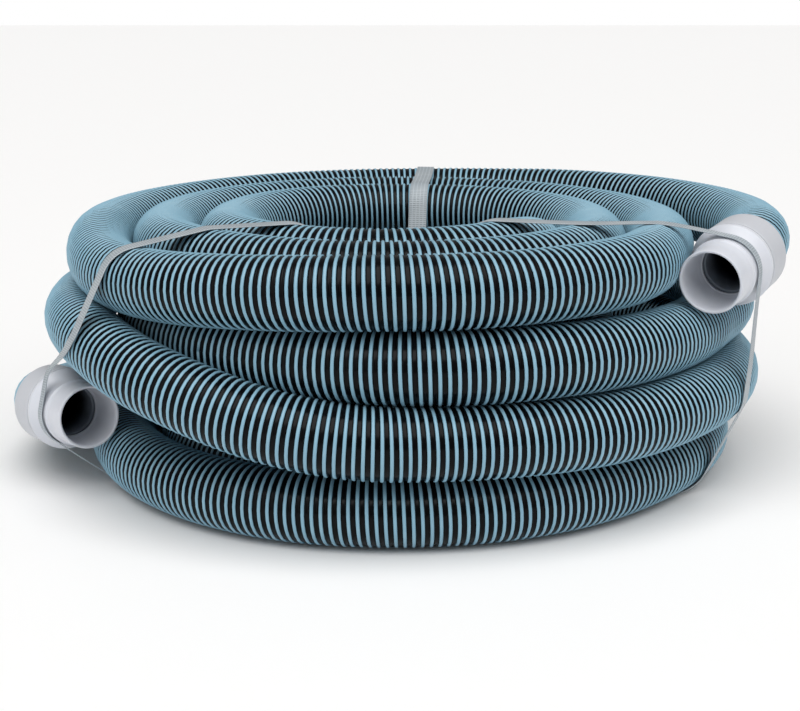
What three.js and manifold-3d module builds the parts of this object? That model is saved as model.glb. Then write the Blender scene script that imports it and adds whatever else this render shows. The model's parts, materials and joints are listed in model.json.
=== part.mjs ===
// Swimming-pool vacuum hose: a spiral-ribbed suction hose wound into a strapped coil,
// with a swivel cuff on each end. Millimetres, +Z up, the coil lies flat on Z = 0.
import * as THREE from "three";
import { mergeVertices } from "three/addons/utils/BufferGeometryUtils.js";
import Module from "manifold-3d";

const wasm = await Module();
wasm.setup();

// ---- driving dimensions -------------------------------------------------------------
const GAP = 0.3; // clearance kept between separate pieces
const HOSE_R = 23; // outside radius of the hose
const BORE_R = 19; // inside radius of the hose
const TUBE_SIDES = 12;
const COIL_X = 1; // centre of the coil, so that the whole part is centred on the origin
const COIL_Y = -0.7;

// Heights of the four layers of turns, from the floor up.
const LAYER_1 = 23.6;
const LAYER_2 = 70.2;
const LAYER_3 = 116.6;
const LAYER_4 = 163.2;

// Radii of the columns of turns, measured to the hose's centre line.
const OUTER_LAYERS = [
  [212, LAYER_4],
  [228, LAYER_3],
  [240, LAYER_2],
  [212, LAYER_1],
];
const MIDDLE_R = 165;
const INNER_LAYERS = [
  [110, LAYER_1],
  [106, LAYER_2],
  [106, LAYER_3],
  [118, LAYER_4],
];
const RING_SIDES = 48;

// Swivel cuff, measured back from the mouth along its axis.
const CUFF_SIDES = 36;
const MOUTH_BORE_R = 19.2;
const MOUTH_R = 21.5;
const BEAD_AT = 21.2;
const BEAD_R = 22.9;
const NECK_R = 22;
const SHOULDER_R = 28.2;
const SHOULDER_AT = 38.6;
const BODY_LENGTH = 40.8;
const STOP_AT = 31.4; // ledge that stops the fitting pushed into the socket
const STOP_R = 18;
const POCKET_R = 22.2; // pocket that holds the sleeve's flange and the seal
const WASHER_T = 1.4;
const COLLAR_LENGTH = 25.4;
const COLLAR_R = 27.9;
const COLLAR_BORE_R = HOSE_R + 0.9;
const SLEEVE_R = 18.6;
const SLEEVE_BORE_R = 16.8;
const SLEEVE_END = 62;
const FLANGE_R = 21.8;
const FLANGE_T = 3.2;

// Mouth centres and the directions that the mouths point in.
const RIGHT_MOUTH = new THREE.Vector3(203.2, -132.8, 153.6);
const RIGHT_AXIS = new THREE.Vector3(-0.552, -0.821, -0.146).normalize();
const LEFT_MOUTH = new THREE.Vector3(-205.6, -118.1, 58.3);
const LEFT_AXIS = new THREE.Vector3(0.584, -0.807, 0.084).normalize();

// Routes of the two ends, from the cuff into the coil: angle in degrees, radius, height.
const RIGHT_LEAD = [
  [-11.7, 258, 167],
  [-5.5, 259.5, 168.3],
  [1, 258.5, 169],
  [14, 253, 169],
  [27, 245, 169],
  [40, 236, 168.6],
  [52, 228, 168],
];
const LEFT_LEAD = [
  [190.2, 258.2, 49.5],
  [187.1, 260.3, 47.2],
  [183.3, 261.3, 43.8],
  [176, 260.5, 37],
  [168, 258, 31.5],
  [158, 255, 27.5],
  [148, 253, 26.5],
  [138, 252, 29],
  [128, 252, 37],
  [118, 252, 49],
];
const LEAD_STEPS = 22;

// Free length in front of each mouth, where the turn beside it lies further in.
const RIGHT_FRONT_ROOM = 8;
const LEFT_FRONT_ROOM = 80;

// Packing straps.
const STRAP_W = 15;
const STRAP_T = 0.8;
const STRAP_LIFT = 0.1; // under the coil a strap stays this far above the floor
const RIGHT_STRAP_ANGLE = -26.2;
const LEFT_STRAP_ANGLE = 202.8;
const BACK_STRAP_ANGLE = 84;
const STRAP_OVER_CUFF_R = 31.4; // a strap clears the cuff, which has to turn under it
const SEAL_LENGTH = 24;
const SEAL_T = 2.4;

// ---- materials ----------------------------------------------------------------------
const finish = (color, roughness, metalness = 0) =>
  new THREE.MeshStandardMaterial({ color, roughness, metalness });
const HOSE = finish(0x7ba3b5, 0.42);
const CUFF_WHITE = finish(0xd3d7de, 0.4);
const COLLAR_WHITE = finish(0xc4c9cf, 0.5);
const SLEEVE_GREY = finish(0x8b9299, 0.5);
const WASHER_WHITE = finish(0xe4e7ea, 0.45);
const SEAL_BLACK = finish(0x191b1e, 0.7);
const STRAP_CLEAR = finish(0xa3adb3, 0.45);
const CRIMP = finish(0x9aa3a8, 0.4, 0.9);

// ---- helpers ------------------------------------------------------------------------
const root = new THREE.Group();

function addMesh(name, geometry, material) {
  const mesh = new THREE.Mesh(geometry, material);
  mesh.name = name;
  root.add(mesh);
  return mesh;
}

// A closed mesh as a solid, for cutting.
function solid(geometry) {
  const plain = geometry.clone();
  plain.deleteAttribute("normal");
  plain.deleteAttribute("uv");
  const merged = mergeVertices(plain, 1e-4);
  return new wasm.Manifold(
    new wasm.Mesh({
      numProp: 3,
      vertProperties: new Float32Array(merged.attributes.position.array),
      triVerts: new Uint32Array(merged.index.array),
    }),
  );
}

function geometryOf(shape) {
  const mesh = shape.getMesh();
  const geometry = new THREE.BufferGeometry();
  geometry.setAttribute("position", new THREE.BufferAttribute(mesh.vertProperties, 3));
  geometry.setIndex(new THREE.BufferAttribute(mesh.triVerts, 1));
  geometry.computeVertexNormals();
  return geometry;
}

// Points on an arc of a circle, the angles in degrees.
function arc(cx, cy, radius, from, to, steps) {
  return Array.from({ length: steps + 1 }, (_, i) => {
    const a = THREE.MathUtils.degToRad(from + ((to - from) * i) / steps);
    return new THREE.Vector2(cx + radius * Math.cos(a), cy + radius * Math.sin(a));
  });
}

// A ring turned about Z from a profile of [radius, height] that closes on itself.
function turned(profile, sides) {
  const closed = [...profile, profile[0].clone()];
  return new THREE.LatheGeometry(closed, sides).rotateX(Math.PI / 2);
}

const polar = ([angle, radius, height]) => {
  const a = THREE.MathUtils.degToRad(angle);
  return new THREE.Vector3(radius * Math.cos(a), radius * Math.sin(a), height);
};

// ---- hose ---------------------------------------------------------------------------
// The outline of the wound coil: four turns high and three turns wide, flat underneath.
function coilProfile() {
  const outer = [...OUTER_LAYERS].reverse();
  const points = [new THREE.Vector2(INNER_LAYERS[0][0] - HOSE_R / 2, 0)];
  points.push(new THREE.Vector2(outer[0][0] + HOSE_R / 2, 0));
  outer.forEach(([radius, height], i) => {
    const top = i === outer.length - 1 ? 80 : 50;
    points.push(...arc(radius, height, HOSE_R, -50, top, 3));
  });
  points.push(...arc(MIDDLE_R, LAYER_4, HOSE_R, 55, 125, 3));
  [...INNER_LAYERS].reverse().forEach(([radius, height], i) => {
    points.push(...arc(radius, height, HOSE_R, i === 0 ? 60 : 130, 230, i === 0 ? 4 : 3));
  });
  return points;
}

// The curve of one end of the hose, straight inside the cuff and then into the coil.
function leadCurve(mouth, axis, stations, start) {
  const inCuff = [start, SLEEVE_END - 4, SLEEVE_END + 5].map((d) =>
    mouth.clone().addScaledVector(axis, -d),
  );
  return new THREE.CatmullRomCurve3([...inCuff, ...stations.map(polar)], false, "centripetal");
}

// The bore's flats, not its corners, stand at innerR, so that a round spigot fits in it.
function tubeAlong(curve, outerR, innerR) {
  const lastAngle = 360 - 360 / TUBE_SIDES;
  const section = (radius) => arc(0, 0, radius, 0, lastAngle, TUBE_SIDES - 1);
  const shape = new THREE.Shape(section(outerR));
  if (innerR > 0) {
    shape.holes.push(new THREE.Path(section(innerR / Math.cos(Math.PI / TUBE_SIDES))));
  }
  return new THREE.ExtrudeGeometry(shape, {
    extrudePath: curve,
    steps: LEAD_STEPS,
    bevelEnabled: false,
  });
}

// ---- cuff pieces, each turned about +Z with the mouth at 0 and the hose towards -Z -----
function cuffBodyProfile() {
  const at = (radius, back) => new THREE.Vector2(radius, -back);
  const pocketFront = STOP_AT + 1.8;
  const pocketBack = SHOULDER_AT + 0.2;
  return [
    at(MOUTH_BORE_R + 0.5, 0),
    at(MOUTH_R - 0.5, 0),
    at(MOUTH_R, 0.6),
    at(MOUTH_R - 0.1, BEAD_AT - 1.8),
    at(BEAD_R, BEAD_AT - 0.6),
    at(BEAD_R, BEAD_AT + 0.6),
    at(NECK_R, BEAD_AT + 2),
    at(NECK_R + 0.2, BEAD_AT + 6),
    at(NECK_R + 1.4, BEAD_AT + 10),
    at(NECK_R + 3.6, BEAD_AT + 13.2),
    at(SHOULDER_R - 0.6, BEAD_AT + 15.4),
    at(SHOULDER_R, SHOULDER_AT - 0.8),
    at(SHOULDER_R, SHOULDER_AT + 1),
    at(SHOULDER_R - 0.6, BODY_LENGTH),
    at(SLEEVE_R + GAP, BODY_LENGTH),
    at(SLEEVE_R + GAP, pocketBack),
    at(POCKET_R, pocketBack),
    at(POCKET_R, pocketFront),
    at(STOP_R, pocketFront),
    at(STOP_R, STOP_AT),
    at(MOUTH_BORE_R - 0.4, STOP_AT - 0.4),
    at(MOUTH_BORE_R, 0.6),
  ].reverse();
}

// Behind the body come the washer and the collar that is bonded on to the hose.
const washerFront = BODY_LENGTH + GAP;
const collarFront = washerFront + WASHER_T + GAP;
const collarBack = collarFront + COLLAR_LENGTH;
const hoseStart = collarFront + 3.6;

function collarProfile() {
  const at = (radius, back) => new THREE.Vector2(radius, -back);
  return [
    at(SLEEVE_R + GAP, collarFront),
    at(COLLAR_R - 0.4, collarFront),
    at(COLLAR_R, collarFront + 0.8),
    at(COLLAR_R - 0.3, collarBack - 3),
    at(COLLAR_R - 0.9, collarBack - 1.2),
    at(COLLAR_R - 2.2, collarBack),
    at(COLLAR_BORE_R, collarBack),
    at(COLLAR_BORE_R, hoseStart - GAP),
    at(SLEEVE_R + GAP, hoseStart - GAP),
  ].reverse();
}

function sleeveProfile() {
  const at = (radius, back) => new THREE.Vector2(radius, -back);
  const flangeBack = SHOULDER_AT + 0.2 - GAP;
  return [
    at(SLEEVE_BORE_R, flangeBack - FLANGE_T),
    at(FLANGE_R, flangeBack - FLANGE_T),
    at(FLANGE_R, flangeBack),
    at(SLEEVE_R, flangeBack),
    at(SLEEVE_R, SLEEVE_END - 1.5),
    at(SLEEVE_R - 1, SLEEVE_END),
    at(SLEEVE_BORE_R, SLEEVE_END),
  ].reverse();
}

function rectProfile(inner, outer, front, back) {
  return [
    new THREE.Vector2(inner, -back),
    new THREE.Vector2(outer, -back),
    new THREE.Vector2(outer, -front),
    new THREE.Vector2(inner, -front),
  ];
}

function sealProfile() {
  const front = STOP_AT + 1.8 + GAP;
  const back = SHOULDER_AT + 0.2 - GAP - FLANGE_T - GAP;
  return arc(20.4, -(front + back) / 2, (back - front) / 2, 0, 315, 7);
}

// Turns a piece from its own +Z on to the cuff's axis and moves it to the mouth.
function placeOnCuff(mesh, mouth, axis) {
  mesh.quaternion.setFromUnitVectors(new THREE.Vector3(0, 0, 1), axis);
  mesh.position.copy(mouth);
  return mesh;
}

function buildCuff(side, mouth, axis) {
  const pieces = [
    ["cuff_body", cuffBodyProfile(), CUFF_WHITE],
    ["seal_ring", sealProfile(), SEAL_BLACK],
    ["swivel_sleeve", sleeveProfile(), SLEEVE_GREY],
    ["thrust_washer", rectProfile(21.5, 27.4, washerFront, washerFront + WASHER_T), WASHER_WHITE],
    ["hose_collar", collarProfile(), COLLAR_WHITE],
  ];
  for (const [name, profile, material] of pieces) {
    placeOnCuff(addMesh(`${side}_${name}`, turned(profile, CUFF_SIDES), material), mouth, axis);
  }
}

// The room that a cuff takes with the free length in front of it, for cutting the coil.
function cuffRoom(mouth, axis, frontRoom) {
  const length = collarBack + 4 + frontRoom;
  const room = new THREE.CylinderGeometry(SHOULDER_R + 1.5, SHOULDER_R + 1.5, length, CUFF_SIDES);
  room.rotateX(Math.PI / 2).translate(0, 0, -length / 2 + frontRoom);
  const carrier = placeOnCuff(new THREE.Object3D(), mouth, axis);
  carrier.updateMatrix();
  return room.applyMatrix4(carrier.matrix);
}

// ---- straps -------------------------------------------------------------------------
const cross = (o, a, b) => (a.x - o.x) * (b.y - o.y) - (a.y - o.y) * (b.x - o.x);

// The taut outline round a set of circles [x, y, radius], as a convex hull.
function tautOutline(circles, offset) {
  const points = circles.flatMap(([x, y, r]) => arc(x, y, r + offset, 0, 342, 19));
  points.sort((a, b) => a.x - b.x || a.y - b.y);
  const half = (list) => {
    const chain = [];
    for (const p of list) {
      while (chain.length > 1 && cross(chain[chain.length - 2], chain[chain.length - 1], p) <= 0) {
        chain.pop();
      }
      chain.push(p);
    }
    return chain.slice(0, -1);
  };
  return [...half(points), ...half(points.slice().reverse())];
}

function strapCircles(extra) {
  const turns = [...OUTER_LAYERS, ...INNER_LAYERS, [MIDDLE_R, LAYER_4]];
  const circles = turns.map(([radius, height]) => {
    const rest = height === LAYER_1 ? HOSE_R + STRAP_T + STRAP_LIFT + GAP : height;
    return [radius, rest, HOSE_R];
  });
  return [...circles, ...extra];
}

// Stands a flat outline of [radius, height] up in the radial plane at the given angle.
function inRadialPlane(geometry, angle, width) {
  geometry.translate(0, 0, -width / 2);
  geometry.rotateX(Math.PI / 2);
  return geometry.rotateZ(THREE.MathUtils.degToRad(angle));
}

function band(circles, inside, outside, angle, width) {
  const shape = new THREE.Shape(tautOutline(circles, outside));
  shape.holes.push(new THREE.Path(tautOutline(circles, inside)));
  const options = { depth: width, bevelEnabled: false };
  return inRadialPlane(new THREE.ExtrudeGeometry(shape, options), angle, width);
}

// A crimped seal that grips the strap on the inner side of the coil.
function sealBlock(circles, angle) {
  const reach = GAP + STRAP_T;
  const innerFace = Math.min(...tautOutline(circles, reach).map((p) => p.x));
  const middle = (LAYER_2 + LAYER_3) / 2;
  const block = new THREE.BoxGeometry(SEAL_T, STRAP_W + 2, SEAL_LENGTH);
  block.translate(innerFace - GAP - SEAL_T / 2, 0, middle);
  return block.rotateZ(THREE.MathUtils.degToRad(angle));
}

// ---- assembly -----------------------------------------------------------------------
const leads = [
  ["right", RIGHT_MOUTH, RIGHT_AXIS, RIGHT_LEAD, RIGHT_FRONT_ROOM],
  ["left", LEFT_MOUTH, LEFT_AXIS, LEFT_LEAD, LEFT_FRONT_ROOM],
];
const straps = [
  ["strap_back", BACK_STRAP_ANGLE, []],
  ["strap_right", RIGHT_STRAP_ANGLE, [[245, LAYER_4 - 6, STRAP_OVER_CUFF_R]]],
  ["strap_left", LEFT_STRAP_ANGLE, [[242, LAYER_2 - 14.5, STRAP_OVER_CUFF_R]]],
];

let coil = solid(turned(coilProfile(), RING_SIDES));
for (const [side, mouth, axis, stations, frontRoom] of leads) {
  const curve = leadCurve(mouth, axis, stations, hoseStart);
  addMesh(`hose_lead_${side}`, tubeAlong(curve, HOSE_R, BORE_R), HOSE);
  coil = coil.subtract(solid(tubeAlong(curve, HOSE_R + 2 * GAP, 0)));
  coil = coil.subtract(solid(cuffRoom(mouth, axis, frontRoom)));
}
for (const [name, angle, extra] of straps) {
  const circles = strapCircles(extra);
  addMesh(name, band(circles, GAP, GAP + STRAP_T, angle, STRAP_W), STRAP_CLEAR);
  addMesh(`${name}_seal`, sealBlock(circles, angle), CRIMP);
  coil = coil.subtract(solid(band(circles, 0, 2 * GAP + STRAP_T, angle, STRAP_W + 2 * GAP)));
}
addMesh("hose_coil", geometryOf(coil), HOSE);
buildCuff("right", RIGHT_MOUTH, RIGHT_AXIS);
buildCuff("left", LEFT_MOUTH, LEFT_AXIS);

root.position.set(COIL_X, COIL_Y, 0);
export default root;
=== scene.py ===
"""A swimming-pool vacuum hose, wound into a coil and strapped, with a swivel cuff on each end.

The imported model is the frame. The hose is one continuous tube swept along its winding route, with
its spiral rib as a real raised bead. The cuffs are turned from their profiles and the straps are
pulled taut round the turns that they really cross. Metres, +Z up, the coil lies on Z = 0.
"""

import json
import logging
import math
from dataclasses import dataclass, field
from enum import Enum

import bpy
import numpy as np
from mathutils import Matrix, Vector


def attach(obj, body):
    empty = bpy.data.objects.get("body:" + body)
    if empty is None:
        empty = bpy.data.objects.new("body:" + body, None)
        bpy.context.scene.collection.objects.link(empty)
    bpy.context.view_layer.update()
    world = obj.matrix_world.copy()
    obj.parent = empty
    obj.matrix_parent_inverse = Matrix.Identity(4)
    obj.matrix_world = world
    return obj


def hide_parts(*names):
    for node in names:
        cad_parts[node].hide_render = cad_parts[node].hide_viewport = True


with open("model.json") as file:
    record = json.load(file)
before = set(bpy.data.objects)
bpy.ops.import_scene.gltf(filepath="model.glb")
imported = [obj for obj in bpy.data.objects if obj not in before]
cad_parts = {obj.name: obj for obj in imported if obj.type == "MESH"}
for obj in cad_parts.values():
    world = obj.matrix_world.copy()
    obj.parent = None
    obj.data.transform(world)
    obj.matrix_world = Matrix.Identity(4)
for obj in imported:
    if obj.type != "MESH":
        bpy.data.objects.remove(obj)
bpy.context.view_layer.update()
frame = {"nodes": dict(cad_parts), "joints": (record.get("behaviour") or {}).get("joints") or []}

LOG = logging.getLogger("pool_hose")
MM = 0.001
COIL_CENTRE = np.array((1.0, -0.7, 0.0)) * MM  # the coil's own axis, seen from above
TURN = 360.0

# Heights of the four layers of turns, in millimetres, from the floor up.
L1, L2, L3, L4 = 23.6, 70.2, 116.6, 163.2

# The hose's route: angle from +X in degrees, radius and height in millimetres.
RIGHT_LEAD = (
    (-11.7, 258, 167), (-5.5, 259.5, 168.3), (1, 258.5, 169), (14, 253, 169), (27, 245, 169),
    (40, 236, 168.6), (52, 228, 168),
)
TOP_LAYER = (
    (65, 220.5, 166.5), (90, 213.5, 165), (135, 212.5, L4), (180, 213.5, L4 - 1), (205, 214, L4 - 8),
    (225, 213, L4 - 8), (248, 212, L4 - 3), (270, 211.5, L4),
    (315, 205, L4), (337, 195, L4), (360, 191, L4), (405, 175, L4),
    (450, 166, L4), (495, 166, L4), (540, 167.5, L4), (630, 164, L4), (675, 157, L4),
    (700, 148.5, L4), (732, 139.5, L4), (765, 127.5, L4), (810, 118, L4), (855, 119.5, L4),
    (900, 121, L4), (990, 115, L4), (1035, 107.5, L4),
)
INNER_COLUMN = (
    (1080, 101, L4 - 13), (1118, 100, L4 - 33), (1155, 102, L3), (1195, 105, L3),
    (1260, 108, L3), (1350, 108, L3), (1395, 106, L3), (1450, 101.5, L3 - 23), (1505, 102, L2),
    (1545, 105, L2), (1620, 108, L2), (1710, 108, L2), (1740, 106, L2), (1795, 102, L2 - 23),
    (1850, 105, L1), (1880, 108, L1), (1910, 111, L1),
)
BOTTOM_LAYER = (
    (1935, 121, L1), (1960, 137, L1), (1985, 150, L1), (2015, 156, L1), (2060, 155.5, L1),
    (2110, 155, L1), (2180, 155, L1), (2250, 155.5, L1), (2280, 163, L1), (2300, 176, L1),
    (2320, 191, L1), (2340, 201, L1), (2360, 204, L1), (2400, 204, L1), (2430, 202, L1),
    (2475, 209, L1), (2520, 228, L1), (2550, 224, L1),
)
MIDDLE_COLUMN = (
    (2575, 215, L1 + 6), (2600, 206, L1 + 30), (2625, 199, L2), (2655, 181, L2), (2685, 165, L2),
    (2720, 160, L2), (2790, 160, L2), (2870, 160, L2), (2930, 160.5, L2 + 23), (2985, 161, L3),
    (3050, 161, L3), (3070, 176, L3), (3090, 188, L3), (3110, 191.5, L3), (3130, 199, L3),
)
OUTER_COLUMN = (
    (3150, 208, L3), (3175, 214, L3), (3200, 216, L3 - 3), (3222, 224, L3 - 5),
    (3240, 245, L3 - 2), (3258, 252, L3), (3285, 247, L3), (3330, 233, L3), (3375, 228.5, L3),
    (3410, 229, L3), (3430, 231, L3 - 0.5), (3450, 232.5, L3 - 4), (3470, 231.5, L3 - 17.5),
    (3490, 225.5, L3 - 35), (3510, 219, L2 + 2), (3555, 228, L2), (3600, 247, L2),
    (3645, 253, L2), (3680, 253, L2), (3702, 252, L2 - 6),
)
LEFT_LEAD = (
    (118, 252, 49), (128, 252, 37), (138, 252, 29), (148, 253, 26.5), (158, 255, 27.5),
    (168, 256, 31), (176, 257.5, 35.5), (183.3, 258.6, 42), (187.1, 258.6, 46),
    (190.2, 257.4, 49),
)
LEFT_LEAD_TURNS = 10  # whole turns wound before the left lead


# ---- small tools ----------------------------------------------------------------------------
def unit(vectors: np.ndarray) -> np.ndarray:
    """Each vector divided by its length."""
    return vectors / np.linalg.norm(vectors, axis=-1, keepdims=True)


def smooth_through(knots: np.ndarray, values: np.ndarray, at: np.ndarray) -> np.ndarray:
    """A curve through every knot that doesn't swing past it.

    Between two knots it is a cubic. Its slope at a knot is the mean of the slopes of the two spans
    beside it, each weighted by how much the slope changes on the other side.

    Args:
        knots: rising parameter values.
        values: the value at each knot.
        at: where the curve is wanted.

    Returns:
        The curve's value at each place.
    """
    spans = np.diff(values) / np.diff(knots)
    before = 2 * spans[0] - spans[1]
    after = 2 * spans[-1] - spans[-2]
    slopes = np.concatenate(
        [[2 * before - spans[0], before], spans, [after, 2 * after - spans[-1]]]
    )
    change = np.abs(np.diff(slopes))
    total = change[2:] + change[:-2]
    even = total < 1e-9
    weighted = change[2:] * slopes[1:-2] + change[:-2] * slopes[2:-1]
    plain = (slopes[1:-2] + slopes[2:-1]) / 2
    tilt = np.where(even, plain, weighted / np.where(even, 1.0, total))
    i = np.clip(np.searchsorted(knots, at, side="right") - 1, 0, len(knots) - 2)
    h = knots[i + 1] - knots[i]
    u = (at - knots[i]) / h
    ends = values[i] * (1 + 2 * u) * (1 - u) ** 2 + values[i + 1] * u * u * (3 - 2 * u)
    return ends + h * tilt[i] * u * (1 - u) ** 2 - h * tilt[i + 1] * u * u * (1 - u)


def grid_faces(rows: int, columns: int, around_rows: bool, around_columns: bool) -> np.ndarray:
    """Quads of a grid of points, numbered row by row.

    Args:
        rows: number of rows of points.
        columns: number of points in a row.
        around_rows: True if the last row joins the first.
        around_columns: True if the last point of a row joins its first.

    Returns:
        An array of four point numbers for each quad.
    """
    i = np.arange(rows if around_rows else rows - 1)[:, None]
    j = np.arange(columns if around_columns else columns - 1)[None, :]
    i_next = (i + 1) % rows
    j_next = (j + 1) % columns
    corners = (i * columns + j, i * columns + j_next, i_next * columns + j_next, i_next * columns + j)
    return np.stack(np.broadcast_arrays(*corners), axis=-1).reshape(-1, 4)


def end_caps(rows: int, around: int) -> list[list[int]]:
    """The two faces that close a strip's ends: the first row turned back, and the last row."""
    last = (rows - 1) * around
    return [list(range(around))[::-1], list(range(last, last + around))]


def make_piece(
    name: str, points: np.ndarray, quads: np.ndarray, uv: np.ndarray | None = None, caps: list | None = None
) -> bpy.types.Object:
    """Puts numpy points and quads into a smooth-shaded mesh object at the origin.

    Args:
        name: the piece's name.
        points: the points, one row each.
        quads: four point numbers for each face.
        uv: a pair for each corner of each quad, if the piece has its own map.
        caps: faces with other numbers of corners, which close a strip's ends.

    Returns:
        The new object.
    """
    caps = caps or []
    mesh = bpy.data.meshes.new(name)
    sizes = np.concatenate([np.full(len(quads), 4), [len(cap) for cap in caps]]).astype(np.int32)
    corners = np.concatenate([quads.ravel(), *map(np.asarray, caps)]).astype(np.int32)
    starts = np.concatenate([[0], np.cumsum(sizes)[:-1]]).astype(np.int32)
    mesh.vertices.add(len(points))
    mesh.vertices.foreach_set("co", points.astype(np.float32).ravel())
    mesh.loops.add(len(corners))
    mesh.loops.foreach_set("vertex_index", corners)
    mesh.polygons.add(len(sizes))
    mesh.polygons.foreach_set("loop_start", starts)
    mesh.polygons.foreach_set("use_smooth", np.ones(len(sizes), bool))
    mesh.update(calc_edges=True)
    if uv is not None:
        spare = np.zeros((len(corners) - len(uv), 2))
        layer = mesh.uv_layers.new(name="surface")
        layer.data.foreach_set("uv", np.concatenate([uv, spare]).astype(np.float32).ravel())
    mesh.validate()
    piece = bpy.data.objects.new(name, mesh)
    bpy.context.scene.collection.objects.link(piece)
    return piece


def grid_uv(rows: np.ndarray, columns: np.ndarray) -> np.ndarray:
    """The map of a grid's quads, from its values at the grid's lines."""
    u0, v0 = np.meshgrid(rows[:-1], columns[:-1], indexing="ij")
    u1, v1 = np.meshgrid(rows[1:], columns[1:], indexing="ij")
    pairs = ((u0, v0), (u0, v1), (u1, v1), (u1, v0))
    return np.stack([np.stack(pair, axis=-1) for pair in pairs], axis=2).reshape(-1, 2)


# ---- shader tools ---------------------------------------------------------------------------
Tree = bpy.types.NodeTree
Socket = bpy.types.NodeSocket
Value = float | tuple | Socket
Colour = tuple[float, float, float]


def fill(tree: Tree, node: bpy.types.Node, **inputs: Value) -> bpy.types.Node:
    """Sets or links a node's inputs.

    Args:
        tree: the tree that the node is in.
        node: the node.
        inputs: socket names, with underscores for spaces, or i0, i1 for sockets by number.

    Returns:
        The same node.
    """
    for key, value in inputs.items():
        numbered = key[0] == "i" and key[1:].isdigit()
        socket = node.inputs[int(key[1:])] if numbered else node.inputs[key.replace("_", " ")]
        if isinstance(value, Socket):
            tree.links.new(value, socket)
        else:
            socket.default_value = value
    return node


def add_node(tree: Tree, kind: str, settings: dict | None = None, **inputs: Value) -> bpy.types.Node:
    """Adds a node with its properties, and sets or links its inputs as fill does."""
    made = tree.nodes.new(kind)
    for key, value in (settings or {}).items():
        setattr(made, key, value)
    return fill(tree, made, **inputs)


def maths(tree: Tree, operation: str, *values: Value, clamp: bool = False) -> Socket:
    """One Math node's result."""
    inputs = {f"i{n}": value for n, value in enumerate(values)}
    settings = {"operation": operation, "use_clamp": clamp}
    return add_node(tree, "ShaderNodeMath", settings, **inputs).outputs[0]


def mixed(tree: Tree, factor: Value, first: Value, second: Value) -> Socket:
    """Two colours mixed by a factor."""
    return add_node(
        tree, "ShaderNodeMix", {"data_type": "RGBA"}, i0=factor, i6=first, i7=second
    ).outputs[2]


def noise(tree: Tree, scale: Value, detail: float) -> Socket:
    """Noise on Object coordinates."""
    place = tree.nodes.new("ShaderNodeTexCoord").outputs["Object"]
    made = add_node(tree, "ShaderNodeTexNoise", None, Vector=place, Scale=scale, Detail=detail)
    return made.outputs[0]


def stretched(tree: Tree, value: Socket, low: float, high: float) -> Socket:
    """A value's range from low to high, stretched to 0 to 1."""
    return add_node(
        tree, "ShaderNodeMapRange", None, Value=value, From_Min=low, From_Max=high
    ).outputs[0]


def rgba(colour: Colour) -> tuple[float, float, float, float]:
    """A colour with full alpha."""
    return (*colour, 1.0)


def new_material(name: str) -> tuple[bpy.types.Material, Tree, bpy.types.Node]:
    """A new material, its tree and its shader."""
    made = bpy.data.materials.new(name)
    made.use_nodes = True
    return made, made.node_tree, made.node_tree.nodes["Principled BSDF"]


def own_map(tree: Tree) -> tuple[Socket, Socket]:
    """The two parts of the piece's own map: U and V."""
    surface = add_node(tree, "ShaderNodeUVMap", {"uv_map": "surface"})
    split = add_node(tree, "ShaderNodeSeparateXYZ", None, Vector=surface.outputs[0])
    return split.outputs["X"], split.outputs["Y"]


class Effect(Enum):
    """The shared effects, each one node group."""

    MOTTLE = "colour_mottle"
    GRAIN = "moulded_grain"
    WEAR = "crest_wear"
    DUST = "settled_dust"


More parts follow.
